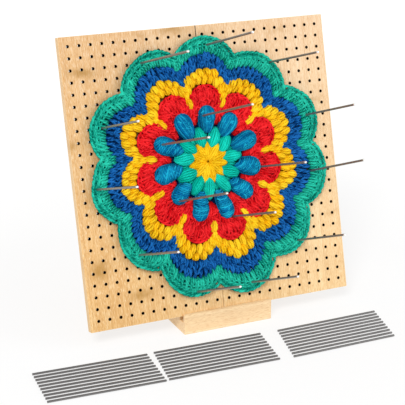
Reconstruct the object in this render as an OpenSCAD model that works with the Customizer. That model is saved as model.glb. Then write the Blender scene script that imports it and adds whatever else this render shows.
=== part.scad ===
// Folding blocking board for crochet, with a lobed work held on steel pins, and spare pins in front.
// x runs to the right with the seam at x = 0, y runs to the back, and z is up from the table.
// The board is drawn upright in its own frame: front face at y = 0, bottom edge at z = 0.

/* [Board] */
// Width of one half panel, seam edge to outer edge
panel_w = 149.8; // [145:0.1:165]
// Height of the board along its face
board_h = 300; // [300:1:320]
// Thickness of the bamboo panels
board_t = 8; // [7:0.5:9]
// Gap between the two half panels at the centre seam
seam_gap = 0.4; // [0.3:0.1:1]
// Radius of the outer corners of the board
corner_r = 1; // [0.5:0.5:5]
// Angle the board leans back from vertical
lean = 14.5; // [12:0.5:16]

/* [Pin holes] */
// Columns of holes in one half panel
cols = 12; // [12:1:12]
// Rows of holes
rows = 24; // [24:1:24]
// Distance between neighbouring holes
pitch = 12.15; // [11.5:0.05:12.15]
// Distance from the seam plane to the nearest column of holes
seam_margin = 6.9; // [6:0.1:8]
// Distance from the top edge of the board to the first row of holes
top_margin = 9.8; // [8:0.1:11]
// Diameter of a pin hole
hole_d = 3.2; // [3.2:0.1:3.6]

/* [Blocking pins] */
// Diameter of a steel blocking pin
pin_d = 2.3; // [1.8:0.1:2.3]
// Length of a steel blocking pin
pin_l = 120; // [100:1:126]
// Depth a pin goes into its hole
pin_depth = 4.8; // [4:0.1:4.8]

/* [Spare pins] */
// Pins in each spare set
spare_n = 10; // [8:1:12]
// Distance between neighbouring spare pins
spare_gap = 6.8; // [4:0.1:7]

/* [Base] */
// Length of the base block
base_w = 102; // [92:1:110]
// Sideways position of the base block from the seam
base_x = 3; // [0:0.5:3]
// Depth of the base block, front to back
base_d = 65; // [65:1:90]
// Height of the base block
base_h = 22; // [20:0.5:30]
// Thickness of the lip in front of the groove
lip_t = 4; // [3:0.5:6]
// Depth of the groove's raised seat below the top of the block
seat_d = 4.3; // [4:0.1:7]
// Depth of the groove at the two ends of the block
groove_end_d = 9.6; // [8:0.1:13]
// Length of the raised seat
seat_l = 84; // [60:1:90]
// Free play of the leaning board in the groove
groove_play = 0.3; // [0.2:0.1:0.6]

/* [Hinges] */
// Height of each hinge leaf
hinge_h = 40; // [30:1:50]
// Width of each hinge leaf, from the pin outwards
leaf_w = 17; // [14:1:24]
// Thickness of a hinge leaf
leaf_t = 1.2; // [1:0.1:1.4]
// Outer radius of a hinge barrel
barrel_r = 2.4; // [2.3:0.1:2.5]
// Radius of a hinge pin
hinge_pin_r = 1.0; // [0.8:0.1:1.2]
// Running clearance between the hinge pin and the moving knuckle
run_clear = 0.05; // [0.03:0.01:0.08]

/* [Crochet work] */
// Number of lobes in the work
lobes = 11; // [9:1:13]
// Thickness of the work
work_t = 7; // [5:0.5:9]
// Height of the centre of the star above the bottom edge of the board
work_z = 157.9; // [154:0.1:160]
// Angle of the first lobe from straight up
work_turn = 2; // [-10:0.5:10]
// Gap between neighbouring rounds
round_gap = 0.4; // [0.3:0.1:0.8]
// Outer radius of the green edge at a lobe
edge_r = 136; // [128:0.5:136]
// How far the outermost round sits to the right of the star
edge_dx = 2.5; // [-3:0.1:3]
// How far the outermost round sits below the star
edge_dz = 6.5; // [0:0.1:8]

/* [Hidden] */

bamboo = [0.93, 0.78, 0.55];
bamboo_light = [0.96, 0.84, 0.62];
steel = [0.62, 0.61, 0.60];
zinc = [0.75, 0.75, 0.74];

over = 1; // how far a cutter runs past a face

// Groove width that holds the board at its lean between the lip and the back edge
groove_w = board_t * cos(lean) + seat_d * tan(lean) + groove_play;
lip_y = -base_d / 2 + lip_t;
front_play = 0.15; // between the lip and the board
rest_gap = 0.05; // between the seat and the board
// Front bottom edge of the board
board_y = lip_y + front_play;
board_z = base_h - seat_d + board_t * sin(lean) + rest_gap;

// Hinges
axis_y = board_t + 2.7; // hinge axis, behind the back face
hinge_inset = 52; // hinge centre from the top or bottom edge
hinge_z_low = hinge_inset;
hinge_z_high = board_h - hinge_inset;
knuckle_h = hinge_h / 3;
knuckle_gap = 0.2;
leaf_start = 1.2; // leaf's inner edge from the seam plane
notch_clear = 0.5; // leaf's notch beyond the barrel
hinge_pin_short = 0.4; // how much shorter the pin is than the leaf

// Hinge screws
screw_x = leaf_w - 6;
screw_rise = [-13, 13]; // screws from the hinge centre
screw_r = 1.2;
screw_head_r = 2.4;
screw_l = 6;
shank_overlap = 0.1; // shank into head
slot_w = 0.6;
slot_l = 3.2;
slot_d = 0.5;
sink_clear = 0.03; // countersink around the head
sink_over = 0.01; // countersink past each face of the leaf
pilot_clear = 0.02; // pilot hole around the shank
pilot_extra = 0.3; // pilot hole beyond the screw tip

// Holes in use: column and row counted from 0 at the top left hole,
// then the pin's upward tilt and its lean to the right, in degrees
pin_places = [
    [6, 2, 3, 4], [12, 1, 3, 1.5], [18, 3, 2.5, -0.5], [21, 8, 5, -0.5],
    [11, 7, 5, 4.5], [2, 7, 3.5, -0.5], [7, 9, 4, 4], [1, 12, 3.5, 1.5],
    [8, 14, 6.5, 4.5], [21, 13, 7, 2], [16, 12, 4, -1], [13, 16, 6, -2],
    [4, 18, 6.5, 0.5], [9, 22, 9, 0.5], [14, 22, 9, 1], [19, 19, 7.5, -1]];

// Spare sets: x and y of the rearmost pin's left end, turn in degrees,
// and the shift of each pin along its length from the one behind it
spare_places = [
    [-222, -56.2, -2.8, -0.2],
    [-95, -61.3, -1.8, -0.8],
    [44.5, -66.2, 0.5, -1.6]];

// Radii at lobe tip and valley of the outlines that bound the rounds, as shares of edge_r
round_tip = [0, 0.160, 0.289, 0.459, 0.618, 0.767, 0.885, 1.0];
round_low = [0, 0.108, 0.245, 0.380, 0.490, 0.620, 0.745, 0.872];
rounds = len(round_tip) - 1;
outline_points = lobes * 12;
lobe_power = 0.7; // below 1 gives full lobes and narrow valleys
drift_power = 1.5; // above 1 puts most of the drift in the outer rounds
work_gap = 0.2; // between the board and the work
half_gap = 0.3; // from the seam plane to each half of the work
work_reach = edge_r + 10; // cutter size that takes in a whole half
clear_r = pin_d / 2 + 0.7; // pin clearance hole through the work
clear_l = 30;

// Place of a hole on the front face
function hole_x(column) = column < cols
    ? -seam_margin - (cols - 1 - column) * pitch
    : seam_margin + (column - cols) * pitch;
function hole_z(row) = board_h - top_margin - row * pitch;

// Moves from the board's own frame to its leaning place in the base
module on_board() translate([0, board_y, board_z]) rotate([-lean, 0, 0]) children();

// ---- Panels ----

// Right half panel without holes, its outer corners rounded
module panel_blank() {
    inner_x = seam_gap / 2;
    corner_x = inner_x + panel_w - corner_r;
    union() {
        translate([inner_x, 0, 0]) cube([panel_w - corner_r, board_t, board_h]);
        translate([inner_x, 0, corner_r]) cube([panel_w, board_t, board_h - 2 * corner_r]);
        for (z = [corner_r, board_h - corner_r])
            translate([corner_x, 0, z]) rotate([-90, 0, 0])
                cylinder(r = corner_r, h = board_t, $fn = 48);
    }
}

module panel_holes(first_col) {
    for (column = [first_col : first_col + cols - 1], row = [0 : rows - 1])
        translate([hole_x(column), -over, hole_z(row)]) rotate([-90, 0, 0])
            cylinder(d = hole_d, h = board_t + 2 * over, $fn = 24);
}

// Places children on the back face at the screws of the right leaves
module screw_places() {
    for (z = [hinge_z_low, hinge_z_high], rise = screw_rise)
        translate([screw_x, board_t, z + rise]) children();
}

module pilot_holes() {
    screw_places() translate([0, -screw_l - pilot_extra, 0]) rotate([-90, 0, 0])
        cylinder(r = screw_r + pilot_clear, h = screw_l + over, $fn = 32);
}

module left_panel() color(bamboo) on_board() difference() {
    mirror([1, 0, 0]) panel_blank();
    panel_holes(0);
    mirror([1, 0, 0]) pilot_holes();
}

module right_panel() color(bamboo) on_board() difference() {
    panel_blank();
    panel_holes(cols);
    pilot_holes();
}

// ---- Hinges, drawn about their mid height ----

// Right leaf plate with countersinks; notches lists [bottom, top] of the cuts around the barrel
module leaf_plate(notches) difference() {
    translate([leaf_start, board_t, -hinge_h / 2]) cube([leaf_w - leaf_start, leaf_t, hinge_h]);
    for (notch = notches)
        translate([0, board_t - over, notch[0]])
            cube([barrel_r + notch_clear, leaf_t + 2 * over, notch[1] - notch[0]]);
    for (rise = screw_rise)
        translate([screw_x, board_t - sink_over, rise]) rotate([-90, 0, 0])
            cylinder(r1 = screw_r + sink_clear, r2 = screw_head_r + sink_clear,
                h = leaf_t + 2 * sink_over, $fn = 32);
}

module knuckle(z, height)
    translate([0, axis_y, z]) cylinder(r = barrel_r, h = height, center = true, $fn = 48);

module hinge_bore(radius)
    translate([0, axis_y, -hinge_h]) cylinder(r = radius, h = 2 * hinge_h, $fn = 48);

// Leaf with the lower and upper knuckles, fixed on the pin
module left_leaf(hinge_z) color(zinc) on_board() translate([0, 0, hinge_z]) difference() {
    notch_top = knuckle_h / 2 + knuckle_gap;
    union() {
        mirror([1, 0, 0]) leaf_plate([[-notch_top, notch_top]]);
        for (side = [-1, 1])
            knuckle(side * (knuckle_h + knuckle_gap / 2), knuckle_h - knuckle_gap);
    }
    hinge_bore(hinge_pin_r);
}

// Leaf with the middle knuckle, free to turn on the pin
module right_leaf(hinge_z) color(zinc) on_board() translate([0, 0, hinge_z]) difference() {
    union() {
        leaf_plate([[-hinge_h, -knuckle_h / 2], [knuckle_h / 2, hinge_h]]);
        knuckle(0, knuckle_h);
    }
    hinge_bore(hinge_pin_r + run_clear);
}

module hinge_pin(hinge_z) color(steel) on_board() translate([0, axis_y, hinge_z])
    cylinder(r = hinge_pin_r, h = hinge_h - hinge_pin_short, center = true, $fn = 48);

// Countersunk cross-slot screws, heads flush with the leaf
module screws() {
    screw_places() difference() {
        union() {
            rotate([-90, 0, 0]) cylinder(r1 = screw_r, r2 = screw_head_r, h = leaf_t, $fn = 32);
            translate([0, -screw_l, 0]) rotate([-90, 0, 0])
                cylinder(r = screw_r, h = screw_l + shank_overlap, $fn = 32);
        }
        for (slot = [[slot_w, slot_l], [slot_l, slot_w]])
            translate([-slot[0] / 2, leaf_t - slot_d, -slot[1] / 2]) cube([slot[0], over, slot[1]]);
    }
}

module hinge_screws_left() color(zinc) on_board() mirror([1, 0, 0]) screws();
module hinge_screws_right() color(zinc) on_board() screws();

// ---- Base ----

// Block with an upright groove, deeper at both ends;
// the board stands on the raised seat and leans on the groove's back edge
module base_block() color(bamboo_light) difference() {
    translate([base_x - base_w / 2, -base_d / 2, 0]) cube([base_w, base_d, base_h]);
    translate([-base_w, lip_y, base_h - seat_d]) cube([2 * base_w, groove_w, seat_d + over]);
    for (end_x = [-base_w, seat_l / 2])
        translate([base_x + end_x, lip_y, base_h - groove_end_d])
            cube([base_w - seat_l / 2, groove_w, groove_end_d]);
}

// ---- Pins ----

// Steel pin along z with a round far end
module steel_pin() {
    straight_l = pin_l - pin_d / 2;
    union() {
        cylinder(d = pin_d, h = straight_l, $fn = 32);
        translate([0, 0, straight_l]) sphere(d = pin_d, $fn = 32);
    }
}

// Turns z to point out of a hole, tilted about the middle of the pin's grip
module pin_axis(place) on_board()
    translate([hole_x(place[0]), pin_depth / 2, hole_z(place[1])])
        rotate([0, 0, place[3]]) rotate([90 - place[2], 0, 0]) children();

module pin(index) color(steel) pin_axis(pin_places[index])
    translate([0, 0, -pin_depth / 2]) steel_pin();

// Spare pins side by side on the table, each in front of the last
module spare_pins(index) {
    place = spare_places[index];
    color(steel) translate([place[0], place[1], pin_d / 2]) rotate([0, 0, place[2]])
        for (k = [0 : spare_n - 1])
            translate([k * place[3], -k * spare_gap, 0]) rotate([0, 90, 0]) steel_pin();
}

// ---- Crochet work ----

function scallop(angle) = pow(abs(cos(lobes / 2 * angle)), lobe_power);
function outline_r(i, angle) =
    edge_r * (round_low[i] + (round_tip[i] - round_low[i]) * scallop(angle));
// Share of the full off-centre drift at outline i
function drift(i) = pow(i / rounds, drift_power);
// Outline i, grown outwards by grow
function outline(i, grow) = [
    for (k = [0 : outline_points - 1])
        let (angle = k * 360 / outline_points, radius = outline_r(i, angle) + grow)
        [radius * sin(angle + work_turn) + edge_dx * drift(i),
            radius * cos(angle + work_turn) - edge_dz * drift(i)]];

module pin_clearance() {
    for (place = pin_places) pin_axis(place) cylinder(r = clear_r, h = clear_l, $fn = 24);
}

// Half of round i, counted from 0 at the centre; side is -1 for left and 1 for right
module round_half(i, side) difference() {
    on_board() translate([0, -work_gap, work_z]) rotate([90, 0, 0]) intersection() {
        linear_extrude(height = work_t) difference() {
            polygon(outline(i + 1, -round_gap / 2));
            if (i > 0) polygon(outline(i, round_gap / 2));
        }
        translate([side > 0 ? half_gap : -half_gap - work_reach, -work_reach, -over])
            cube([work_reach, 2 * work_reach, work_t + 2 * over]);
    }
    pin_clearance();
}

module star_half(side) color([1.0, 0.77, 0.08]) round_half(0, side);
module puffs_half(side) color([0.0, 0.72, 0.60]) round_half(1, side);
module petals_half(side) color([0.0, 0.47, 0.70]) round_half(2, side);
module red_half(side) color([0.89, 0.06, 0.13]) round_half(3, side);
module gold_half(side) color([1.0, 0.75, 0.08]) round_half(4, side);
module royal_half(side) color([0.05, 0.28, 0.58]) round_half(5, side);
module green_half(side) color([0.0, 0.60, 0.47]) round_half(6, side);

left_panel();
right_panel();
left_leaf(hinge_z_high);  // hinge_upper_left_leaf
right_leaf(hinge_z_high);  // hinge_upper_right_leaf
hinge_pin(hinge_z_high);  // hinge_upper_pin
left_leaf(hinge_z_low);  // hinge_lower_left_leaf
right_leaf(hinge_z_low);  // hinge_lower_right_leaf
hinge_pin(hinge_z_low);  // hinge_lower_pin
hinge_screws_left();
hinge_screws_right();
base_block();
pin(0);  // pin_01
pin(1);  // pin_02
pin(2);  // pin_03
pin(3);  // pin_04
pin(4);  // pin_05
pin(5);  // pin_06
pin(6);  // pin_07
pin(7);  // pin_08
pin(8);  // pin_09
pin(9);  // pin_10
pin(10);  // pin_11
pin(11);  // pin_12
pin(12);  // pin_13
pin(13);  // pin_14
pin(14);  // pin_15
pin(15);  // pin_16
spare_pins(0);  // spare_pins_1
spare_pins(1);  // spare_pins_2
spare_pins(2);  // spare_pins_3
star_half(-1);  // star_left
star_half(1);  // star_right
puffs_half(-1);  // puffs_left
puffs_half(1);  // puffs_right
petals_half(-1);  // petals_left
petals_half(1);  // petals_right
red_half(-1);  // red_round_left
red_half(1);  // red_round_right
gold_half(-1);  // gold_round_left
gold_half(1);  // gold_round_right
royal_half(-1);  // royal_round_left
royal_half(1);  // royal_round_right
green_half(-1);  // green_edge_left
green_half(1);  // green_edge_right
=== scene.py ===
"""A round crochet piece in progress on a drilled bamboo board.

The board is two bamboo panels that meet in a seam at x = 0. It stands on a bamboo base block
and leans back: its front face looks towards -y and a little upwards. Steel pins stand out of
the face. The crochet lies on the face as seven parts, from a yellow star at the centre to a
green edge. Yarn is laid out in mm: x to the right and z up the board from the star's centre,
and height out of the front face.
"""
import bpy, math, random
import numpy as np
from mathutils import Vector, Matrix


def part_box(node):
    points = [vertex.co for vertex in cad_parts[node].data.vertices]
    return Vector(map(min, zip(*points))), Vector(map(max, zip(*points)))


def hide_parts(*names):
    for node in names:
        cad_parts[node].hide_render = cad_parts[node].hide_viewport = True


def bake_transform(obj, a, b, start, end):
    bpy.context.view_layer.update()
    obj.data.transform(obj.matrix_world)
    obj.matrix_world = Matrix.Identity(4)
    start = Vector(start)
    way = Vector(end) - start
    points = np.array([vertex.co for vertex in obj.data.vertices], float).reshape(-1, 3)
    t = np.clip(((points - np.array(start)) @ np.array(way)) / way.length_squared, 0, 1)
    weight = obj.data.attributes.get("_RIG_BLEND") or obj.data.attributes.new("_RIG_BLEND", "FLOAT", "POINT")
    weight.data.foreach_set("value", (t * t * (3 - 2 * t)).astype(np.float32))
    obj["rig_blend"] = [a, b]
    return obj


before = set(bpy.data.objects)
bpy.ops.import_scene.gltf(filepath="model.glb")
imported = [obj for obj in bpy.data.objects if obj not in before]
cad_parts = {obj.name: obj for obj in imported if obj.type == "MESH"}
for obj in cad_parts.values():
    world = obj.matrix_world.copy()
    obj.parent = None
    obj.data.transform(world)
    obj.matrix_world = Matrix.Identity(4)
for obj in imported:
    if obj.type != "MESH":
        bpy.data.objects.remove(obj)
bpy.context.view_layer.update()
rng = random.Random(7)

MM = 0.001

# ---------------------------------------------------------------- board frame
LEAN = math.radians(14.5)
BOARD_THICK = 0.008
BOARD_HALF = 0.15           # half the side of the square board
BOARD_SIDE = 2 * BOARD_HALF

ACROSS = Vector((1, 0, 0))
UP = Vector((0, math.sin(LEAN), math.cos(LEAN)))        # up the board
OUT = Vector((0, -math.cos(LEAN), math.sin(LEAN)))      # out of the front face
panel_low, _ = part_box("left_panel")
# Middle of the board's front bottom edge
ORIGIN = Vector((0.0, panel_low.y, panel_low.z + BOARD_THICK * math.sin(LEAN)))

# Grid of drilled holes, mirrored about the seam
HOLE_PITCH = 0.01215
HOLE_RADIUS = 0.0016
FIRST_COLUMN = 0.0069       # from the seam
TOP_ROW = 0.2902            # up the board


# ---------------------------------------------------------------- colour and node helpers
def srgb(*channels):
    """Linear colour from sRGB channels of 0 to 255."""
    shares = [c / 255 for c in channels]
    return tuple(s / 12.92 if s <= 0.04045 else ((s + 0.055) / 1.055) ** 2.4 for s in shares)


def scaled(colour, factor):
    return tuple(max(0.0, min(1.0, channel * factor)) for channel in colour)


class Nodes:
    """A node tree. Most methods add one node and return its output socket."""

    def __init__(self, tree):
        self.tree = tree

    def feed(self, node, inputs):
        """Link or set inputs, given as {socket name or index: socket or value}."""
        for key, value in inputs.items():
            socket = node.inputs[key]
            if isinstance(value, bpy.types.NodeSocket):
                self.tree.links.new(value, socket)
            elif socket.type == "RGBA":
                socket.default_value = (*value, 1)
            else:
                socket.default_value = value

    def node(self, kind, inputs, **settings):
        node = self.tree.nodes.new(kind)
        for key, value in settings.items():
            setattr(node, key, value)
        self.feed(node, inputs)
        return node

    def math(self, operation, a, b=None, clamp=False):
        inputs = {0: a} if b is None else {0: a, 1: b}
        node = self.node("ShaderNodeMath", inputs, operation=operation, use_clamp=clamp)
        return node.outputs[0]

    def add(self, a, b, clamp=False):
        return self.math("ADD", a, b, clamp)

    def sub(self, a, b, clamp=False):
        return self.math("SUBTRACT", a, b, clamp)

    def mul(self, a, b, clamp=False):
        return self.math("MULTIPLY", a, b, clamp)

    def div(self, a, b, clamp=False):
        return self.math("DIVIDE", a, b, clamp)

    def near(self, distance, reach, fade):
        """1 within reach, falling to 0 over fade."""
        beyond = self.div(self.sub(distance, reach), fade, clamp=True)
        return self.sub(1.0, beyond, clamp=True)

    def mix(self, factor, a, b, blend="MIX"):
        node = self.node("ShaderNodeMix", {}, data_type="RGBA", blend_type=blend)
        self.feed(node, {0: factor, 6: a, 7: b})
        return node.outputs[2]

    def ramp(self, factor, start, end):
        """Grey ramp between two stops, each (position, level)."""
        node = self.node("ShaderNodeValToRGB", {"Fac": factor})
        elements = node.color_ramp.elements
        while len(elements) > 1:
            elements.remove(elements[-1])
        elements[0].position = start[0]
        for element, (_, level) in ((elements[0], start), (elements.new(end[0]), end)):
            element.color = (level, level, level, 1)
        return node.outputs[0]

    def coords(self):
        return self.node("ShaderNodeTexCoord", {}).outputs["Object"]

    def from_origin(self, coords):
        node = self.node("ShaderNodeVectorMath", {}, operation="SUBTRACT")
        self.feed(node, {0: coords, 1: ORIGIN})
        return node.outputs[0]

    def dot(self, vector, axis):
        node = self.node("ShaderNodeVectorMath", {}, operation="DOT_PRODUCT")
        self.feed(node, {0: vector, 1: axis})
        return node.outputs["Value"]

    def combine(self, x, y, z=0.0):
        return self.node("ShaderNodeCombineXYZ", {0: x, 1: y, 2: z}).outputs[0]

    def noise(self, vector, scale, detail, roughness=0.5):
        inputs = {"Vector": vector, "Scale": scale, "Detail": detail, "Roughness": roughness}
        return self.node("ShaderNodeTexNoise", inputs).outputs[0]

    def attribute(self, name):
        return self.node("ShaderNodeAttribute", {}, attribute_name=name).outputs["Fac"]

    def bump(self, height, strength, distance):
        inputs = {"Height": height, "Strength": strength, "Distance": distance}
        return self.node("ShaderNodeBump", inputs).outputs[0]


def new_material(name):
    """An empty material, its nodes and its Principled surface."""
    material = bpy.data.materials.new(name)
    material.use_nodes = True
    material.node_tree.nodes.clear()
    nodes = Nodes(material.node_tree)
    output = nodes.node("ShaderNodeOutputMaterial", {})
    surface = nodes.node("ShaderNodeBsdfPrincipled", {})
    nodes.feed(output, {0: surface.outputs[0]})
    return material, nodes, surface


# ---------------------------------------------------------------- bamboo
PALE_FIBRE = srgb(252, 226, 180)
JOINT_BROWN = srgb(180, 132, 58)
GLUE = srgb(186, 138, 84)
# Near black: scorch at the hole rims, painted shade on the hole walls
SCORCH_AND_HOLE_SHADE = (0.004, 0.002, 0.001)
# Painted shade for the gap of the seam between the panels
SEAM_SHADE = (0.05, 0.028, 0.015)
DEEPER = (0.80, 0.70, 0.60)         # multiplies the dark tone for fibres and end grain
TOP_PAINTED_SHADE = (0.885, 0.91, 1.12)      # painted shade: multiplies the wood, darker and a little bluer towards the top of the board

# Light and dark tone at the left, then light and dark tone at the right
PANEL_TONES = (srgb(238, 195, 131), srgb(225, 175, 106), srgb(252, 221, 170), srgb(243, 205, 149))
BASE_TONES = (srgb(254, 225, 182), srgb(244, 208, 158), srgb(255, 229, 188), srgb(247, 213, 166))

# Brown culm joints: x, distance up the board, half width, half height (mm), strength
LEFT_JOINTS = [
    (-27, 297, 16, 5, 0.75), (-129, 262, 15, 5, 0.85), (-147, 192, 7, 5, 0.6),
    (-133, 62, 9, 9, 0.85), (-90, 31, 12, 4.5, 0.8), (-60, 296, 9, 3, 0.35),
    (-106, 150, 10, 3, 0.3),
]
RIGHT_JOINTS = [
    (52, 20, 13, 3.5, 0.35), (128, 208, 12, 3.5, 0.35), (96, 287, 12, 3.0, 0.35),
    (140, 84, 9, 3.0, 0.3),
]


def joint_mask(nodes, place, fibres, joints):
    """Soft, wobbly ellipses where the culm joints are, broken up by the fibres."""
    add, sub, mul, div = nodes.add, nodes.sub, nodes.mul, nodes.div
    up, across = nodes.dot(place, UP), nodes.dot(place, ACROSS)
    wobble = mul(sub(nodes.noise(place, scale=85.0, detail=3.0), 0.5), 0.012)
    mask = None
    for x, z, half_width, half_height, strength in joints:
        sideways = div(sub(add(across, wobble), x * MM), half_width * MM)
        upwards = div(sub(add(up, wobble), z * MM), half_height * MM)
        squared = add(mul(sideways, sideways), mul(upwards, upwards))
        spot = mul(nodes.math("EXPONENT", mul(squared, -1.0)), strength)
        mask = spot if mask is None else nodes.math("MAXIMUM", mask, spot)
    return mul(mask, add(mul(fibres, 1.1), 0.45), clamp=True)


def board_marks(nodes, place, wood, deeper, cloud):
    """Darker sides, scorched holes with painted shade on their walls, painted shade in the seam, and worn
    edges. Returns colour and the mask of scorch and hole shade.
    """
    add, sub, mul, div, mix = nodes.add, nodes.sub, nodes.mul, nodes.div, nodes.mix

    def along(axis):
        return nodes.dot(place, axis)

    def distance(value):
        return nodes.math("ABSOLUTE", value)

    def off_grid(cells):
        """Distance from the nearest hole centre, from a place counted in pitches."""
        return mul(sub(cells, nodes.math("ROUND", cells)), HOLE_PITCH)

    # End grain and sides are a touch darker than the faces
    normal = nodes.node("ShaderNodeNewGeometry", {}).outputs["Normal"]
    on_face = nodes.math("GREATER_THAN", distance(nodes.dot(normal, OUT)), 0.7)
    wood = mix(mul(sub(1.0, on_face), 0.45), wood, deeper)

    # Walls and rims of the drilled holes: faint scorch round the rims on the face, and near-black painted
    # shade on the hole walls
    x = off_grid(div(sub(distance(along(ACROSS)), FIRST_COLUMN), HOLE_PITCH))
    z = off_grid(div(sub(TOP_ROW, along(UP)), HOLE_PITCH))
    from_hole = nodes.math("SQRT", add(mul(x, x), mul(z, z)))
    rim = nodes.near(from_hole, reach=HOLE_RADIUS + 0.00004, fade=0.00035)
    scorch_and_hole_shade = mul(rim, sub(1.0, mul(on_face, 0.55)))
    wood = mix(scorch_and_hole_shade, wood, SCORCH_AND_HOLE_SHADE)

    # Painted shade on the facing edges of the seam, darker towards the top
    seam = nodes.near(distance(along(ACROSS)), reach=0.00035, fade=0.0003)
    rising = add(div(along(UP), 0.36), 0.06, clamp=True)
    wood = mix(mul(seam, rising), wood, SEAM_SHADE)

    # Outer edges rubbed light
    from_side = sub(BOARD_HALF, distance(along(ACROSS)))
    from_end = sub(BOARD_HALF, distance(sub(along(UP), BOARD_HALF)))
    from_edge = nodes.math("MINIMUM", from_side, from_end)
    worn = mul(sub(1.0, div(from_edge, 0.0007, clamp=True)), mul(cloud, 0.8))
    return mix(worn, wood, scaled(PALE_FIBRE, 0.98)), scorch_and_hole_shade


def bamboo(name, grain, across, depth, strip, tones, seed, joints=()):
    """Laminated bamboo. The three directions are unit vectors and strip is the width of one
    strip in metres. A piece with joints is a board panel and gets the marks of one."""
    material, nodes, surface = new_material(name)
    add, sub, mul, div, mix = nodes.add, nodes.sub, nodes.mul, nodes.div, nodes.mix
    place = nodes.from_origin(nodes.coords())

    def along(axis):
        return nodes.dot(place, axis)

    # The seed moves the pattern
    run = add(along(grain), seed * 0.11)
    cross = add(along(across), seed * 0.37)
    inward = along(depth)

    # Strip edges wander a little along the grain; each strip has its own tone
    wander = nodes.noise(nodes.combine(mul(run, 7.0), mul(cross, 25.0)), scale=1.0, detail=1.0)
    strips = div(add(cross, mul(sub(wander, 0.5), 0.0012)), strip)
    number, part = nodes.math("FLOOR", strips), nodes.math("FRACT", strips)
    tone = nodes.node("ShaderNodeTexWhiteNoise", {}, noise_dimensions="1D")
    nodes.feed(tone, {"W": number})
    tone = tone.outputs["Value"]

    def streaks(per_metre, detail, roughness, strip_shift):
        """Stretched noise; per_metre is its fineness across, along and into the grain."""
        lengthwise = add(mul(run, per_metre[1]), mul(tone, strip_shift))
        vector = nodes.combine(mul(cross, per_metre[0]), lengthwise, mul(inward, per_metre[2]))
        return nodes.noise(vector, scale=1.0, detail=detail, roughness=roughness)

    fibres = streaks((900.0, 16.0, 700.0), detail=5.0, roughness=0.62, strip_shift=60.0)
    flecks = streaks((1500.0, 190.0, 1200.0), detail=2.0, roughness=0.5, strip_shift=90.0)
    drift = streaks((150.0, 8.0, 110.0), detail=3.0, roughness=0.5, strip_shift=31.0)
    bundles = streaks((430.0, 34.0, 330.0), detail=3.0, roughness=0.6, strip_shift=17.0)
    cloud = nodes.noise(place, scale=22.0, detail=3.0)

    # Tone drifts from the left of the piece to the right
    side = div(add(along(ACROSS), BOARD_HALF), BOARD_SIDE, clamp=True)
    light = mix(side, tones[0], tones[2])
    dark = mix(side, tones[1], tones[3])
    deeper = mix(1.0, dark, DEEPER, "MULTIPLY")
    wood = mix(mul(tone, 0.8), light, dark)
    # Pattern, the two ramp stops that set how much colour it brings in, colour
    for pattern, start, end, colour in (
        (drift, (0.38, 0.0), (0.70, 0.5), dark),
        (cloud, (0.45, 0.0), (0.75, 0.30), deeper),
        (fibres, (0.44, 0.0), (0.70, 0.58), deeper),
        (bundles, (0.50, 0.0), (0.66, 0.30), deeper),
        (bundles, (0.34, 0.28), (0.46, 0.0), PALE_FIBRE),
        (flecks, (0.55, 0.0), (0.68, 0.85), deeper),
        (flecks, (0.32, 0.70), (0.44, 0.0), PALE_FIBRE),
    ):
        wood = mix(nodes.ramp(pattern, start, end), wood, colour)
    if joints:
        wood = mix(joint_mask(nodes, place, fibres, joints), wood, JOINT_BROWN)
        # Painted shade: the wood grows darker and a little bluer up the board
        wood = mix(div(along(UP), BOARD_SIDE, clamp=True), wood, TOP_PAINTED_SHADE, "MULTIPLY")

    # Glue lines between strips
    from_middle = nodes.math("ABSOLUTE", sub(part, 0.5))
    glue = mul(nodes.math("GREATER_THAN", from_middle, 0.488), 0.35)
    wood = mix(glue, wood, GLUE)

    specular = 0.35
    if joints:
        wood, scorch_and_hole_shade = board_marks(nodes, place, wood, deeper, cloud)
        specular = mul(sub(1.0, scorch_and_hole_shade), specular)
    relief = sub(add(fibres, mul(flecks, 0.4)), mul(glue, 1.2))
    nodes.feed(surface, {
        "Base Color": wood,
        "Roughness": add(mul(fibres, 0.25), 0.38),
        "Specular IOR Level": specular,
        "Normal": nodes.bump(relief, strength=0.4, distance=0.0003),
    })
    return material


left_bamboo = bamboo("bamboo_left", grain=UP, across=ACROSS, depth=OUT, strip=0.0205,
                     tones=PANEL_TONES, seed=3.0, joints=LEFT_JOINTS)
right_bamboo = bamboo("bamboo_right", grain=UP, across=ACROSS, depth=OUT, strip=0.0232,
                      tones=PANEL_TONES, seed=8.0, joints=RIGHT_JOINTS)
base_bamboo = bamboo("bamboo_base", grain=ACROSS, across=Vector((0, 0, 1)),
                     depth=Vector((0, 1, 0)), strip=0.0078, tones=BASE_TONES, seed=5.0)


# ---------------------------------------------------------------- metals
PIN_HIGHLIGHT_OUT = 0.1120            # painted highlight: the pins are painted near white beyond this distance out of the face
TIP_HIGHLIGHT = (0.95, 0.95, 0.95)


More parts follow.
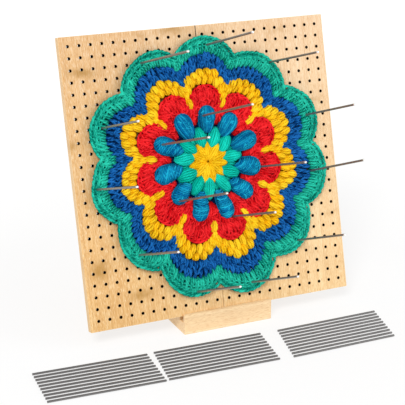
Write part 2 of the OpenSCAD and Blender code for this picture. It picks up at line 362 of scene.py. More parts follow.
def metal(name, colour, roughness, noise_scale, bump=0.1, streak=0.25, tip=None, metallic=1.0):
    """Drawn metal; noise_scale is the fineness of its streaks along x, y and z. Beyond tip out of the face
    it gets a painted highlight.
    """
    material, nodes, surface = new_material(name)
    coords = nodes.coords()
    mapping = nodes.node("ShaderNodeMapping", {"Vector": coords, "Scale": noise_scale})
    streaks = nodes.noise(mapping.outputs[0], scale=1.0, detail=5.0, roughness=0.6)
    patches = nodes.noise(coords, scale=90.0, detail=2.0)
    streak_mask = nodes.ramp(streaks, (0.35, 0.0), (0.75, streak))
    tint = nodes.mix(streak_mask, colour, scaled(colour, 0.55))
    patch_mask = nodes.ramp(patches, (0.45, 0.0), (0.8, 0.35))
    tint = nodes.mix(patch_mask, tint, scaled(colour, 1.25))
    # Painted highlight: near white beyond tip out of the face
    if tip:
        out = nodes.dot(nodes.from_origin(coords), OUT)
        tint = nodes.mix(nodes.math("GREATER_THAN", out, tip), tint, TIP_HIGHLIGHT)
    nodes.feed(surface, {
        "Base Color": tint,
        "Metallic": metallic,
        "Roughness": nodes.add(nodes.mul(streaks, 0.2), roughness),
        "Normal": nodes.bump(streaks, strength=bump, distance=0.0001),
    })
    return material


pin_steel = metal("pin_steel", srgb(146, 141, 137), roughness=0.26, noise_scale=(900, 60, 900),
                  tip=PIN_HIGHLIGHT_OUT, metallic=0.7)
spare_steel = metal("spare_steel", srgb(134, 132, 131), roughness=0.24,
                    noise_scale=(30, 1500, 1500))
hinge_zinc = metal("hinge_zinc", srgb(200, 200, 196), roughness=0.30, noise_scale=(900, 900, 60),
                   bump=0.2, streak=0.35)


# ---------------------------------------------------------------- CAD pieces
def set_material(piece, material):
    piece.data.materials.clear()
    piece.data.materials.append(material)


def soften(piece, width, segments):
    """Join the mesh's coincident points, then bevel its sharp edges."""
    piece.modifiers.new("weld", "WELD").merge_threshold = 1e-6
    bevel = piece.modifiers.new("edge", "BEVEL")
    bevel.width = width
    bevel.segments = segments
    bevel.limit_method = "ANGLE"
    bevel.angle_limit = math.radians(50)
    bevel.harden_normals = False


for name, material, bevel_width in (
    ("left_panel", left_bamboo, 0.00035),
    ("right_panel", right_bamboo, 0.00035),
    ("base_block", base_bamboo, 0.0008),
):
    set_material(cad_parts[name], material)
    soften(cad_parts[name], bevel_width, segments=2)
for name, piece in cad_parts.items():
    if name.startswith("pin_"):
        set_material(piece, pin_steel)
    elif name.startswith("spare"):
        set_material(piece, spare_steel)
    elif name.startswith("hinge"):
        set_material(piece, hinge_zinc)
        soften(piece, 0.00012, segments=1)


# ---------------------------------------------------------------- yarn colours
def yarn(name, light, mid, dark):
    """Matt yarn, toned by the strands' own shade attribute, with painted shade and painted highlights from
    their painted light level.
    """
    material, nodes, surface = new_material(name)
    mix, ramp = nodes.mix, nodes.ramp
    coords = nodes.coords()
    shade, painted_light = nodes.attribute("shade"), nodes.attribute("painted_light")
    fuzz = nodes.noise(coords, scale=1600.0, detail=4.0, roughness=0.7)
    blotches = nodes.noise(coords, scale=120.0, detail=3.0)
    colour = mix(nodes.mul(shade, 0.65), mid, light)
    colour = mix(ramp(blotches, (0.42, 0.0), (0.66, 0.65)), colour, scaled(mid, 0.66))
    # Painted shade in the grooves, painted highlight on the crests
    relief = nodes.add(painted_light, nodes.mul(nodes.sub(fuzz, 0.5), 0.5))
    colour = mix(ramp(relief, (0.20, 1.0), (0.62, 0.0)), colour, dark)
    colour = mix(ramp(relief, (0.78, 0.0), (1.0, 0.85)), colour, light)
    nodes.feed(surface, {
        "Base Color": colour,
        "Roughness": 0.8,
        "Specular IOR Level": 0.03,
        "Sheen Weight": 0.02,
        "Sheen Roughness": 0.5,
        "Sheen Tint": [min(1, 0.35 + 0.65 * channel) for channel in light],
        "Normal": nodes.bump(fuzz, strength=0.6, distance=0.00025),
    })
    return material


# sRGB of the light tone (painted highlight, and lighter strands), the middle tone and the dark tone (painted
# shade) of each yarn
YARN_HIGHLIGHT_MID_SHADE = {
    "yellow": ((255, 222, 48), (240, 178, 8), (128, 68, 0)),
    "turquoise": ((30, 226, 204), (0, 176, 154), (0, 70, 84)),
    "blue": ((34, 190, 220), (0, 102, 158), (0, 26, 66)),
    "red": ((255, 52, 56), (198, 4, 16), (70, 0, 4)),
    "royal": ((36, 120, 198), (2, 62, 126), (0, 18, 54)),
    "green": ((50, 216, 184), (0, 126, 108), (0, 40, 38)),
}
YARNS = {colour: yarn(f"yarn_{colour}", *(srgb(*tone) for tone in tones))
         for colour, tones in YARN_HIGHLIGHT_MID_SHADE.items()}

# ---------------------------------------------------------------- plan of the rounds
CENTRE_UP = 157.9           # from the board's bottom edge up to the star's centre
EDGE_RADIUS = 136.0         # outermost outline at its lobe tips
LOBES = 11
STEP = 360 / LOBES          # degrees from one lobe to the next
TURN = 2.0                  # degrees the whole piece is turned clockwise, seen from the front

# Radius of outlines 0 (centre) to 7 (edge) as a share of EDGE_RADIUS: at the lobe tips
# and in the valleys between them
TIP = [0, 0.160, 0.289, 0.459, 0.616, 0.753, 0.868, 1.0]
VALLEY = [0, 0.108, 0.245, 0.380, 0.490, 0.615, 0.745, 0.872]
LOBE_POWER = 0.7            # below 1 makes round lobes and sharp valleys
# How far each lobe of the edge strays from round, in mm, clockwise from the top
STRAY = [0, -4.5, 0, -1, -1.5, 4, 1, -4.5, -1, 6, 4]

# Shift of the piece in mm: at the centre, and how much more at EDGE_RADIUS
CENTRE_X = -3.4
DRIFT_RIGHT = 2.5
DRIFT_DOWN = 6.5
EDGE_RIGHT = 2.15           # grows more steeply towards the edge than DRIFT_RIGHT


def stray(angle):
    """Smooth interpolation of STRAY at an angle in degrees from the first lobe."""
    place = (angle / STEP) % LOBES
    lobe = int(place)
    part = place - lobe
    part = part * part * (3 - 2 * part)
    return STRAY[lobe % LOBES] * (1 - part) + STRAY[(lobe + 1) % LOBES] * part


def warp(ring, angle):
    """(x, z) in mm of the point at radius ring and angle, in degrees clockwise from the first
    lobe, after the stray and drift of the handmade piece."""
    share = ring / EDGE_RADIUS
    ring = ring + stray(angle) * share ** 2
    drift = share ** 1.5
    turned = math.radians(angle + TURN)
    x = ring * math.sin(turned) + DRIFT_RIGHT * drift + CENTRE_X + EDGE_RIGHT * share ** 2.5
    z = ring * math.cos(turned) - DRIFT_DOWN * drift
    # Slow unevenness, up to 0.85 mm each way at the edge
    x += 0.5 * math.sin(0.11 * z + 1.3) * share + 0.35 * math.sin(0.23 * x + 0.17 * z) * share
    z += 0.5 * math.sin(0.10 * x + 0.4) * share + 0.35 * math.sin(0.21 * z - 0.19 * x) * share
    return np.array([x, z])


def outline_radius(index, angle):
    """Radius of an outline, whose index may be fractional, before warping."""
    below = min(len(TIP) - 2, int(math.floor(index)))
    part = index - below
    tip = TIP[below] * (1 - part) + TIP[below + 1] * part
    valley = VALLEY[below] * (1 - part) + VALLEY[below + 1] * part
    lobe = abs(math.cos(math.radians(LOBES / 2 * angle))) ** LOBE_POWER
    return EDGE_RADIUS * (valley + (tip - valley) * lobe)


def outline(index, angle, offset=0.0):
    return warp(max(0.01, outline_radius(index, angle) + offset), angle)


def evenly(index, lobe, count, offset=0.0, ends=0.5):
    """Points evenly spaced by length along one lobe of an outline; ends is the gap left at
    either end, in spacings."""
    angles = np.linspace(lobe * STEP - STEP / 2, lobe * STEP + STEP / 2, 120)
    points = np.array([outline(index, angle, offset) for angle in angles])
    gone = np.r_[0, np.cumsum(np.linalg.norm(np.diff(points, axis=0), axis=1))]
    wanted = (np.arange(count) + ends) / (count - 1 + 2 * ends) * gone[-1]
    return np.array([[np.interp(w, gone, points[:, 0]), np.interp(w, gone, points[:, 1])]
                     for w in wanted])


# ---------------------------------------------------------------- yarn mesh
TUBE_SIDES = 10
PLIES = 3
TWIST = 0.55                # radians per mm
SEAM_BLEND = 0.0052         # the crochet blends between the two panels this far each side


class Strands:
    """Collects strands of yarn, given as (x, z, height) in mm, into one mesh.

    Its point attributes are shade (lightness of a strand), the painted light level (low in grooves and
    undersides, where it paints shade) and run (mm along a strand).
    """

    def __init__(self):
        self.points, self.quads, self.caps = [], [], []
        self.attributes = {"shade": [], "painted_light": [], "run": []}
        self.count = 0

    def tube(self, points, radius, shade, floor=0.0, shade_scale=1.0, groove=0.16):
        """A plied strand, with painted shade on its underside and in the grooves between its plies. floor
        lightens that painted shade on the underside, and a shade scale below 1 paints the whole strand
        darker.
        """
        centre = np.asarray(points, float)
        n = len(centre)
        radii = np.full(n, radius, float) if np.isscalar(radius) else np.asarray(radius, float)
        tangent = np.gradient(centre, axis=0)
        tangent /= np.linalg.norm(tangent, axis=1)[:, None] + 1e-9
        side = np.cross(tangent, np.array([0, 0, 1.0]))
        # Where the strand runs straight out of the board, take another reference
        steep = np.linalg.norm(side, axis=1) < 0.15
        side[steep] = np.cross(tangent[steep], np.array([1.0, 0.3, 0]))
        side /= np.linalg.norm(side, axis=1)[:, None] + 1e-9
        top = np.cross(side, tangent)

        run = np.r_[0, np.cumsum(np.linalg.norm(np.diff(centre, axis=0), axis=1))]
        turn = (np.arange(TUBE_SIDES) * 2 * np.pi / TUBE_SIDES)[None, :] + np.zeros((n, 1))
        ply = np.cos(PLIES * (turn - TWIST * run[:, None]) + rng.random() * 6)
        profile = 1 + groove * ply
        rings = centre[:, None, :] + radii[:, None, None] * profile[:, :, None] * (
            np.cos(turn)[:, :, None] * side[:, None, :]
            + np.sin(turn)[:, :, None] * top[:, None, :])
        # Painted light level: painted shade on the underside and in the grooves between the plies
        upper = 0.5 + 0.5 * np.sin(turn)
        painted_light = (floor + (1 - floor) * upper) * 0.72 + 0.28 * (0.5 + 0.5 * ply)
        painted_light = painted_light * np.broadcast_to(np.atleast_1d(shade_scale)[:, None], (n, TUBE_SIDES))

        size = n * TUBE_SIDES
        index = self.count + np.arange(size).reshape(n, TUBE_SIDES)
        turned = np.roll(index, -1, axis=1)
        self.quads.append(np.stack([index[:-1], turned[:-1], turned[1:], index[1:]],
                                   axis=-1).reshape(-1, 4))
        self.points.append(rings.reshape(-1, 3))
        self.points.append(np.array([centre[0] - tangent[0] * radii[0] * 0.5,
                                     centre[-1] + tangent[-1] * radii[-1] * 0.5]))
        first = np.full(TUBE_SIDES, self.count + size)
        self.caps.append(np.stack([first, turned[0], index[0]], axis=-1))
        self.caps.append(np.stack([first + 1, index[-1], turned[-1]], axis=-1))
        self.attributes["shade"].append(np.full(size + 2, min(1.0, max(0.0, shade))))
        self.attributes["painted_light"].append(np.r_[painted_light.ravel(), 0.3, 0.3])
        self.attributes["run"].append(np.r_[np.repeat(run, TUBE_SIDES), 0, run[-1]])
        self.count += size + 2

    def sheet(self, rings, ring_painted_light):
        """Quads through closed rings of equal length; the last ring joins the first."""
        rings = np.array(rings, float)
        ring_count, n = rings.shape[:2]
        size = ring_count * n
        index = self.count + np.arange(size).reshape(ring_count, n)
        following = np.roll(index, -1, axis=0)
        turned = np.roll(index, -1, axis=1)
        both = np.roll(following, -1, axis=1)
        self.points.append(rings.reshape(-1, 3))
        self.quads.append(np.stack([index, turned, both, following], axis=-1).reshape(-1, 4))
        self.attributes["shade"].append(np.full(size, 0.35))
        self.attributes["painted_light"].append(np.repeat(ring_painted_light, n))
        self.attributes["run"].append(np.zeros(size))
        self.count += size

    def build(self, name, material):
        points = np.concatenate(self.points)
        world = (np.array(ORIGIN) + points[:, :1] * MM * np.array(ACROSS)
                 + (points[:, 1:2] + CENTRE_UP) * MM * np.array(UP)
                 + points[:, 2:3] * MM * np.array(OUT))
        quads, caps = np.concatenate(self.quads), np.concatenate(self.caps)
        corners = np.r_[quads.ravel(), caps.ravel()]
        starts = np.r_[np.arange(len(quads)) * 4, quads.size + np.arange(len(caps)) * 3]
        mesh = bpy.data.meshes.new(name)
        mesh.vertices.add(len(points))
        mesh.vertices.foreach_set("co", world.astype(np.float32).ravel())
        mesh.loops.add(len(corners))
        mesh.loops.foreach_set("vertex_index", corners.astype(np.int32))
        mesh.polygons.add(len(starts))
        mesh.polygons.foreach_set("loop_start", starts.astype(np.int32))
        mesh.polygons.foreach_set("use_smooth", np.ones(len(starts), bool))
        mesh.update(calc_edges=True)
        mesh.validate()
        for key, values in self.attributes.items():
            attribute = mesh.attributes.new(key, "FLOAT", "POINT")
            attribute.data.foreach_set("value", np.concatenate(values).astype(np.float32))
        piece = bpy.data.objects.new(name, mesh)
        bpy.context.scene.collection.objects.link(piece)
        set_material(piece, material)
        return piece

    def finish(self, name, colour, cad):
        """Build the round, in place of the left and right CAD slabs named after cad."""
        piece = self.build(name, YARNS[colour])
        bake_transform(piece, "left_board", "right_board",
                 start=ORIGIN + ACROSS * -SEAM_BLEND, end=ORIGIN + ACROSS * SEAM_BLEND)
        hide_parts(f"{cad}_left", f"{cad}_right")


# ---------------------------------------------------------------- stitches
# Points, widths, heights and radii are in mm. t runs from 0 to 1 along a stitch.
def arch(t):
    """0 at either end of t, 1 halfway."""
    return np.sin(np.pi * t)


def path(start, step, ahead, across, height):
    """Points at shares ahead of step from start, and mm across to its left."""
    side = np.array([-step[1], step[0]]) / (np.linalg.norm(step) + 1e-9)
    return np.c_[start + np.outer(ahead, step) + np.outer(across, side), height]


def jittered(point, reach):
    return point + np.array([rng.uniform(-reach, reach), rng.uniform(-reach, reach)])


def rib(strands, start, end, heights, top, radius, steps=11, turns=0.25):
    """A post of two strands side by side that turn slowly round each other. heights are
    those of its two ends."""
    start, end = jittered(start, 0.4), jittered(end, 0.4)
    t = np.linspace(0, 1, steps)
    top += rng.uniform(-0.3, 0.3)
    height = heights[0] * (1 - t) + heights[1] * t + (top - sum(heights) / 2) * arch(t) ** 0.8
    shade = rng.random()
    first_phase = rng.uniform(-0.5, 0.5)
    spread = radius * 1.05
    for strand in range(2):
        phase = 2 * np.pi * (strand / 2 + turns * t) + first_phase
        points = path(start, end - start, t, spread * np.cos(phase),
                      height + spread * 0.5 * np.sin(phase))
        # Painted shade towards the ends of the post
        strands.tube(points, radius * (0.72 + 0.28 * arch(0.12 + 0.76 * t)),
                     shade=shade + rng.uniform(-0.4, 0.4), shade_scale=0.66 + 0.34 * arch(0.1 + 0.8 * t))


def puff(strands, start, end, width, foot, top, count, radius, ends, steps=11, slant=0.0,
         fat=0.0, jitter=0.3):
    """Strands that bulge apart like the meridians of a lens. ends are the shares of the width
    at start and end; a positive fat moves the belly towards the end."""
    start, end = jittered(start, jitter), jittered(end, jitter)
    t = np.linspace(0, 1, steps)
    body = arch(t ** (1 + fat)) ** 0.6
    taper = ends[0] * (1 - t) + ends[1] * t
    spread = taper + (1 - taper) * body
    top += rng.uniform(-0.3, 0.3)
    shade = rng.random()
    for strand in range(count):
        angle = ((strand + 0.5) / count * 2 - 1) * math.pi / 2 * 0.98
        across = width / 2 * np.sin(angle + slant * (t - 0.5)) * spread
        height = (foot + (top - foot) * np.cos(angle * 0.92) * (0.2 + 0.8 * body)
                  + rng.uniform(-0.25, 0.25))
        points = path(start, end - start, t, across + rng.uniform(-0.2, 0.2), height)
        # Painted shade on the side strands and towards the ends
        strands.tube(points, radius * (0.62 + 0.38 * body),
                     shade=shade + rng.uniform(-0.3, 0.3), floor=0.25 * math.cos(angle),
                     shade_scale=(0.62 + 0.38 * math.cos(angle)) * (0.72 + 0.28 * body))


def petal(strands, start, end, width, foot, top, radius, wrapped, skew):
    """A rounded finger. Its strands lie across it if wrapped, otherwise along it."""
    steps, groove = 15, 0.22
    step = end - start
    length = np.linalg.norm(step)
    round_end = min(0.6, 0.55 * width / length)     # share of the length

    def half(t):
        """Half width: widens from the start, then closes in a round end."""
        t = np.clip(t, 0, 1)
        grow = 0.50 + 0.50 * np.sin(np.pi / 2 * np.clip(t / 0.62, 0, 1))
        closing = np.clip((t - (1 - round_end)) / round_end, 0, 1)
        return width / 2 * grow * np.sqrt(np.clip(1 - closing ** 2, 0.0, 1))

    def under(t):
        """Height of the underside: the outer part rises onto the round outside it."""
        rise = np.clip((t - 0.22) / 0.42, 0, 1)
        return foot + 4.4 * rise * rise * (3 - 2 * rise)

    def dome(s, t):
        """Height of the top at s, from -1 to 1 across the petal."""
        opening = np.sin(np.pi / 2 * np.clip(0.25 + t / 0.4, 0, 1))
        closing = np.clip(1 - np.clip((t - 0.62) / 0.38, 0, 1) ** 2.4, 0, 1) ** 0.6
        crown = np.sqrt(np.clip(1 - (0.93 * s) ** 2, 0, 1))
        return under(t) + (top - under(t)) * crown * (opening * closing)

    if wrapped:
        count = int(length / (radius * 1.78))
        s = np.linspace(-0.97, 0.97, steps)
        for k in range(count):
            t = (k + 0.6) / count + skew * s * width / length * 0.5 - 0.05 * s ** 2
            t = np.clip(t, 0.01, 0.985)
            points = path(step=step, start=start, ahead=t, across=s * (half(t) - 0.95 * radius),
                          height=dome(s, t) + rng.uniform(-0.3, 0.3))
            # Painted shade towards the sides of the petal
            strands.tube(points, radius * rng.uniform(0.85, 1.15), groove=groove,
                         shade=rng.random(),
                         shade_scale=(0.30 + 0.70 * np.sqrt(1 - s ** 2) ** 0.7)
                         * rng.choice((0.72, 0.9, 1, 1)))
    else:
        count = int(width / (radius * 1.62))
        t = np.linspace(0.0, 0.99, steps)
        for k in range(count):
            s0 = ((k + 0.5) / count * 2 - 1) * 0.93
            s = s0 + skew * 0.25 * (t - 0.5) * (1 - s0 ** 2)
            points = path(start, step, t, s * half(t) + rng.uniform(-0.25, 0.25),
                          dome(s, t) + rng.uniform(-0.35, 0.35))
            # Painted shade towards the sides and ends of the petal
            strands.tube(points, radius * rng.uniform(0.85, 1.12) * (0.75 + 0.25 * arch(t)),
                         groove=groove, shade=rng.random(),
                         shade_scale=(0.32 + 0.68 * math.sqrt(1 - s0 ** 2) ** 0.8)
                         * (0.62 + 0.38 * arch(np.clip(t * 0.9 + 0.1, 0, 1)) ** 0.5)
                         * rng.choice((0.74, 0.92, 1)))

    # A strand round the edge, out along one side and back along the other
    turn = np.linspace(0, np.pi / 2, 9)
    t = np.r_[np.linspace(0.02, 1 - round_end, 8)[:-1], 1 - round_end + round_end * np.sin(turn)]
    closing = np.clip((t - 1 + round_end) / round_end, 0, 1)
    across = half(np.minimum(t, 0.9999)) - 0.55 * radius * np.cos(closing * np.pi / 2)
    across[-1] = 0.0
    ahead = t - 0.5 * radius / length * closing
    height = under(t) + 0.9
    points = path(start, step, np.r_[ahead, ahead[-2::-1]], np.r_[across, -across[-2::-1]],
                  np.r_[height, height[-2::-1]])
    # Painted shade on the edge strand
    strands.tube(points, radius * 1.05, groove=groove, shade=0.3, shade_scale=0.62)


def tangle(strands, inner, outer, count, radius, height):
    """Short loops strewn between two outlines, slanting across the ribs."""
    for _ in range(count):
        angle = rng.uniform(0, 360)
        centre = outline(rng.uniform(inner, outer), angle)
        x, z = centre / (np.linalg.norm(centre) + 1e-9)
        slant = math.radians(rng.choice((-1, 1)) * rng.uniform(20, 60))
        step = rng.uniform(4.5, 7.5) * np.array([x * math.cos(slant) - z * math.sin(slant),
                                                 x * math.sin(slant) + z * math.cos(slant)])
        t = np.linspace(-0.5, 0.5, 8)
        points = path(centre, step, t, rng.uniform(-0.8, 0.8) * (1 - 4 * t ** 2),
                      height + rng.uniform(-0.4, 0.4) + 1.2 * (0.6 - 4 * t ** 2))
        strands.tube(points, radius * (1 - 0.9 * t ** 2), shade=rng.random())


def braid(strands, points, height, radius, width, lift=0.9, reach=1.75):
    """Chain links of two strands along a closed list of points. Each link reaches past the
    next point, by its share of the spacing."""
    t = np.linspace(0, 1, 9)
    for k, start in enumerate(points):
        step = points[(k + 1) % len(points)] - start
        shade = rng.random()
        for side in (-1, 1):
            across = side * width / 2 * arch(0.06 + 0.94 * t) ** 0.8
            link = path(start, step * reach, t, across, height + lift * arch(t) - 0.9 * t + 0.5)
            # Painted shade towards the ends of each link
            strands.tube(link, radius, shade=shade + rng.uniform(-0.45, 0.45),
                         shade_scale=0.55 + 0.45 * arch(0.15 + 0.75 * t))


def bed(strands, inner, outer, edge_height, mid_height, offsets, painted_light, rows=6):
    """Closed, softly domed layer under the stitches between two outlines, painted dark by its painted light
    level as shade in the gaps between them. offsets move its inner and outer edge outwards."""
    base_height = 0.3
    count = LOBES * 24
    angles = np.arange(count) * 360 / count
    rings = []
    for row in range(rows + 1):
        t = row / rows
        height = edge_height + (mid_height - edge_height) * math.sin(math.pi * t) ** 0.6
        offset = offsets[0] * (1 - t) + offsets[1] * t
        rings.append([(*outline(inner + (outer - inner) * t, angle, offset),
                       height + 0.25 * math.sin(k * 2.1 + row * 1.7))
                      for k, angle in enumerate(angles)])
    # Underside, painted dark as shade
    rings += [[(x, z, base_height) for x, z, _ in ring] for ring in (rings[-1], rings[0])]
    strands.sheet(rings, [painted_light] * (rows + 1) + [0.1, 0.0])


# ---------------------------------------------------------------- rounds, from the centre
def star():
    strands = Strands()
    for lobe in range(LOBES):
        angle = lobe * STEP
        puff(strands, warp(1.8, angle),
             warp(22.0 + rng.uniform(-1.2, 1.0), angle + rng.uniform(-3, 3)),
             width=8.2, foot=4.2, top=7.8, count=5, radius=1.35, ends=(0.45, 0.10), fat=-0.25)
        angle += STEP / 2
        puff(strands, warp(3.5, angle), warp(14.8, angle),
             width=4.4, foot=2.8, top=6.0, count=3, radius=1.15, ends=(0.3, 0.4))
    bed(strands, 0.03, 1.0, edge_height=3.4, mid_height=5.2, offsets=(0, -1.5), painted_light=0.55)
    strands.finish("crochet_star", colour="yellow", cad="star")


def turquoise_puffs():
    strands = Strands()
    for lobe in range(LOBES):
        angle = (lobe + 0.5) * STEP
        puff(strands, warp(15.5, angle),
             warp(37.5 + rng.uniform(-1.5, 1.5), angle + rng.uniform(-3.5, 3.5)),
             width=12.2 + rng.uniform(-1.6, 0.8), foot=2.8, top=9.0 + rng.uniform(-0.8, 0.8),
             count=7, radius=1.3, ends=(0.22, rng.uniform(0.3, 0.5)), steps=13,
             slant=rng.uniform(-1.6, 1.6), jitter=0.55)
        for side in (-1, 1):
            beside = angle + side * STEP * 0.46
            rib(strands, warp(20, beside), warp(33, beside), heights=(1.6, 1.6), top=2.8,
                radius=1.0, steps=8)
    bed(strands, 1.0, 1.95, edge_height=1.2, mid_height=2.2, offsets=(0.3, 0), painted_light=0.05)
    strands.finish("crochet_puffs", colour="turquoise", cad="puffs")


# Radius of the end, width (mm), wrapped, skew of the strands; clockwise from the top
PETALS = [
    (60, 18.5, False, 0.9), (59, 18.5, False, -0.8), (60, 19, False, 0.8),
    (58.5, 19.5, True, 0.5), (59, 17, True, 0.3), (60.5, 16.5, True, 0.1),
    (60.5, 17.5, True, -0.15), (58, 18, True, -0.4), (63.5, 19.5, True, 0.5),
    (64.5, 18, True, 0.4), (61, 19, False, 0.5),
]


def blue_petals():
    strands = Strands()
    for lobe, (reach, width, wrapped, skew) in enumerate(PETALS):
        angle = lobe * STEP
        petal(strands, warp(31.0, angle), warp(reach, angle + rng.uniform(-1.5, 1.5)),
              width, foot=2.4, top=10.4, radius=1.25, wrapped=wrapped, skew=skew)
        # Loose loops on top
        for _ in range(8):
            start = warp(rng.uniform(40, 57), angle + rng.uniform(-5, 5))
            end = jittered(start, 4)
            t = np.linspace(0, 1, 7)
            points = np.c_[np.outer(1 - t, start) + np.outer(t, end), 9.6 + 1.6 * arch(t)]
            strands.tube(points, 0.95, shade=rng.random())
    bed(strands, 1.95, 2.4, edge_height=1.2, mid_height=2.2, offsets=(0, 0), painted_light=0.0)
    strands.finish("crochet_petals", colour="blue", cad="petals")


def red_round():
    strands = Strands()
    rim = []
    for lobe in range(LOBES):
        outer = evenly(4, lobe, 14, offset=-3.0)
        middle = evenly(3.2, lobe, 14)
        inner = evenly(2.4, lobe, 14)
        for start, mid, end in zip(inner, middle, outer):
            rib(strands, start, mid * 1.03, heights=(2.4, 3.6), top=4.8, radius=1.3, steps=9)
            rib(strands, mid * 0.985, end, heights=(3.6, 3.6), top=6.8, radius=1.38,
                turns=0.3 * rng.choice((-1, 1)))
        rim += list(evenly(4, lobe, 11, offset=-2.9))
    braid(strands, rim, height=4.7, radius=1.15, width=3.8)
    tangle(strands, 2.6, 3.9, count=520, radius=1.25, height=6.1)
    bed(strands, 2.35, 4.0, edge_height=2.2, mid_height=5.3, offsets=(0, -1.8), painted_light=0.34, rows=8)
    strands.finish("crochet_red", colour="red", cad="red_round")


def gold_round():
    strands = Strands()
    for lobe in range(LOBES):
        # Outer row of puffs, then an inner row set between them
        for start, end in zip(evenly(4.42, lobe, 8), evenly(5, lobe, 8, offset=0.6)):
            end = end * rng.uniform(0.975, 1.004)
            puff(strands, start * rng.uniform(0.985, 1.015), end,
                 width=rng.uniform(6.2, 7.8), foot=2.4, top=rng.uniform(8.2, 9.4), count=4,
                 radius=1.42, ends=(0.35, rng.uniform(0.1, 0.3)), fat=rng.uniform(-0.1, 0.3),
                 slant=rng.uniform(-0.3, 1.1), jitter=0.8)
        for start, end in zip(evenly(4, lobe, 9, offset=-0.4, ends=0.25),
                              evenly(4.66, lobe, 9, ends=0.25)):
            puff(strands, start * rng.uniform(0.985, 1.02), end,
                 width=rng.uniform(5.2, 6.6), foot=2.4, top=rng.uniform(7.2, 8.4), count=4,
                 radius=1.3, ends=(0.22, 0.4), slant=rng.uniform(-1.0, 0.3), jitter=0.8)
        # Long spike into the valley of the red round, and one on either side
        angle = (lobe + 0.5) * STEP
        puff(strands, warp(outline_radius(4, angle) - 7.5, angle), outline(4.30, angle),
             width=6.4, foot=4.0, top=10.4, count=4, radius=1.35, ends=(0.18, 0.4))
        for turn in (-2.6, 2.6):
            puff(strands, outline(4.15, angle + turn * 0.5), outline(4.85, angle + turn * 1.1),
                 width=5.2, foot=3.6, top=8.0, count=3, radius=1.3, ends=(0.25, 0.4))
    bed(strands, 4.0, 5.0, edge_height=1.8, mid_height=4.2, offsets=(0, -3.0), painted_light=0.24)
    strands.finish("crochet_gold", colour="yellow", cad="gold_round")


def royal_round():
    strands = Strands()
    for lobe in range(LOBES):
        outer = evenly(6, lobe, 13, offset=0.6)
        middle = evenly(5.5, lobe, 13)
        inner = evenly(5, lobe, 13, offset=-2.0)
        for start, mid, end in zip(inner, middle, outer):
            turns = 0.3 * rng.choice((-1, 1))
            rib(strands, start, mid * 1.006, heights=(2.8, 3.6), top=5.6, radius=1.35, steps=8,
                turns=turns)
            rib(strands, mid * 0.994, end, heights=(3.6, 3.2), top=6.4, radius=1.35, steps=8,
                turns=-turns)
        angle = (lobe + 0.5) * STEP
        puff(strands, warp(outline_radius(5, angle) - 6.0, angle), outline(5.5, angle),
             width=4.2, foot=3.6, top=7.4, count=3, radius=1.15, ends=(0.2, 0.6))
    tangle(strands, 5.15, 5.9, count=300, radius=1.15, height=5.7)
    bed(strands, 5.0, 6.0, edge_height=1.8, mid_height=4.9, offsets=(-2.0, -1.5), painted_light=0.30)
    strands.finish("crochet_royal", colour="royal", cad="royal_round")


def green_edge():
    strands = Strands()
    rim, ridge = [], []
    for lobe in range(LOBES):
        outer = evenly(7, lobe, 14, offset=-4.0)
        inner = evenly(6, lobe, 14, offset=-0.8)
        for start, end in zip(inner, outer):
            rib(strands, start, end, heights=(3.0, 4.0), top=7.0, radius=1.45, steps=12,
                turns=0.25 * rng.choice((-1, 1)))
        rim += list(evenly(7, lobe, 14, offset=-3.1))
        ridge += list(evenly(6.52, lobe, 14))
    braid(strands, rim, height=4.8, radius=1.5, width=5.4, lift=1.3)
    braid(strands, ridge, height=6.0, radius=1.1, width=3.4, lift=1.2, reach=1.35)
    tangle(strands, 6.1, 6.5, count=70, radius=1.15, height=6.0)
    bed(strands, 6.0, 7.0, edge_height=1.8, mid_height=5.0, offsets=(0, -2.2), painted_light=0.30)
    strands.finish("crochet_green", colour="green", cad="green_edge")


# The rounds share one random stream, so their order matters
for make_round in (star, turquoise_puffs, blue_petals, red_round, gold_round, royal_round,
                   green_edge):
    make_round()


# ---------------------------------------------------------------- stage
scene = bpy.context.scene
WHITE = (1, 1, 1)


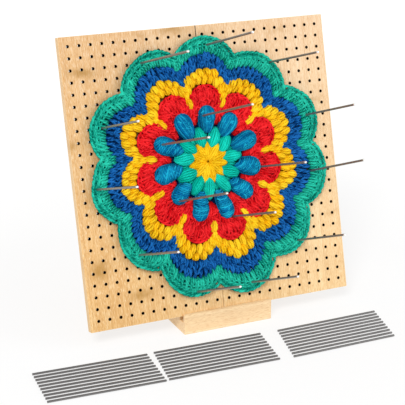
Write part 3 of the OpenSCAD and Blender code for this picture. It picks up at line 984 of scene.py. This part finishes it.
def make_floor():
    """Pale glowing floor, brighter away from the product."""
    half, z = 6, -0.0002
    mesh = bpy.data.meshes.new("floor")
    corners = [(-half, -half, z), (half, -half, z), (half, half, z), (-half, half, z)]
    mesh.from_pydata(corners, [], [(0, 1, 2, 3)])
    floor = bpy.data.objects.new("floor", mesh)
    scene.collection.objects.link(floor)
    material, nodes, surface = new_material("floor_pale")
    length = nodes.node("ShaderNodeVectorMath", {0: nodes.coords()}, operation="LENGTH")
    # 0 within 0.3 m of the middle, 1 from 1.5 m
    far = nodes.div(nodes.sub(length.outputs["Value"], 0.3), 1.2, clamp=True)
    nodes.feed(surface, {
        "Base Color": (0.30, 0.30, 0.30),
        "Roughness": 0.9,
        "Specular IOR Level": 0.0,
        "Emission Color": WHITE,
        "Emission Strength": nodes.add(nodes.mul(far, 0.20), 0.70),
    })
    set_material(floor, material)


def make_world():
    """White surroundings, brighter to the camera than as a light."""
    lighting, extra_to_camera = 0.60, 0.42
    world = bpy.data.worlds.new("studio")
    scene.world = world
    world.use_nodes = True
    nodes = Nodes(world.node_tree)
    to_camera = nodes.node("ShaderNodeLightPath", {}).outputs["Is Camera Ray"]
    strength = nodes.add(nodes.mul(to_camera, extra_to_camera), lighting)
    nodes.feed(world.node_tree.nodes["Background"], {0: WHITE, 1: strength})


def area_light(name, location, size, power):
    """Disk light aimed at the middle of the product."""
    light = bpy.data.lights.new(name, "AREA")
    light.shape = "DISK"
    light.size = size
    light.energy = power
    lamp = bpy.data.objects.new(name, light)
    lamp.location = location
    aim = Vector((0, 0, 0.15)) - Vector(location)
    lamp.rotation_euler = aim.to_track_quat("-Z", "Y").to_euler()
    scene.collection.objects.link(lamp)


def make_camera():
    data = bpy.data.cameras.new("camera")
    camera = bpy.data.objects.new("camera", data)
    scene.collection.objects.link(camera)
    data.sensor_width = 36
    data.lens = 115.632
    data.clip_start, data.clip_end = 0.05, 20
    right = Vector((0.90925, -0.41625, 0.0)).normalized()
    back = right.cross(Vector((0.13561, 0.29612, 0.94548))).normalized()
    pose = Matrix((right, back.cross(right), back)).transposed().to_4x4()
    pose.translation = Vector((-0.54965, -1.17316, 0.57633))
    camera.matrix_world = pose
    scene.camera = camera


make_floor()
make_world()
area_light("key", (-2.4, -3.3, 3.3), size=1.75, power=142)
area_light("fill", (2.2, -1.8, 1.3), size=1.8, power=16)
scene.view_settings.view_transform = "Standard"
scene.view_settings.look = "None"
scene.view_settings.exposure = 0.0
make_camera()
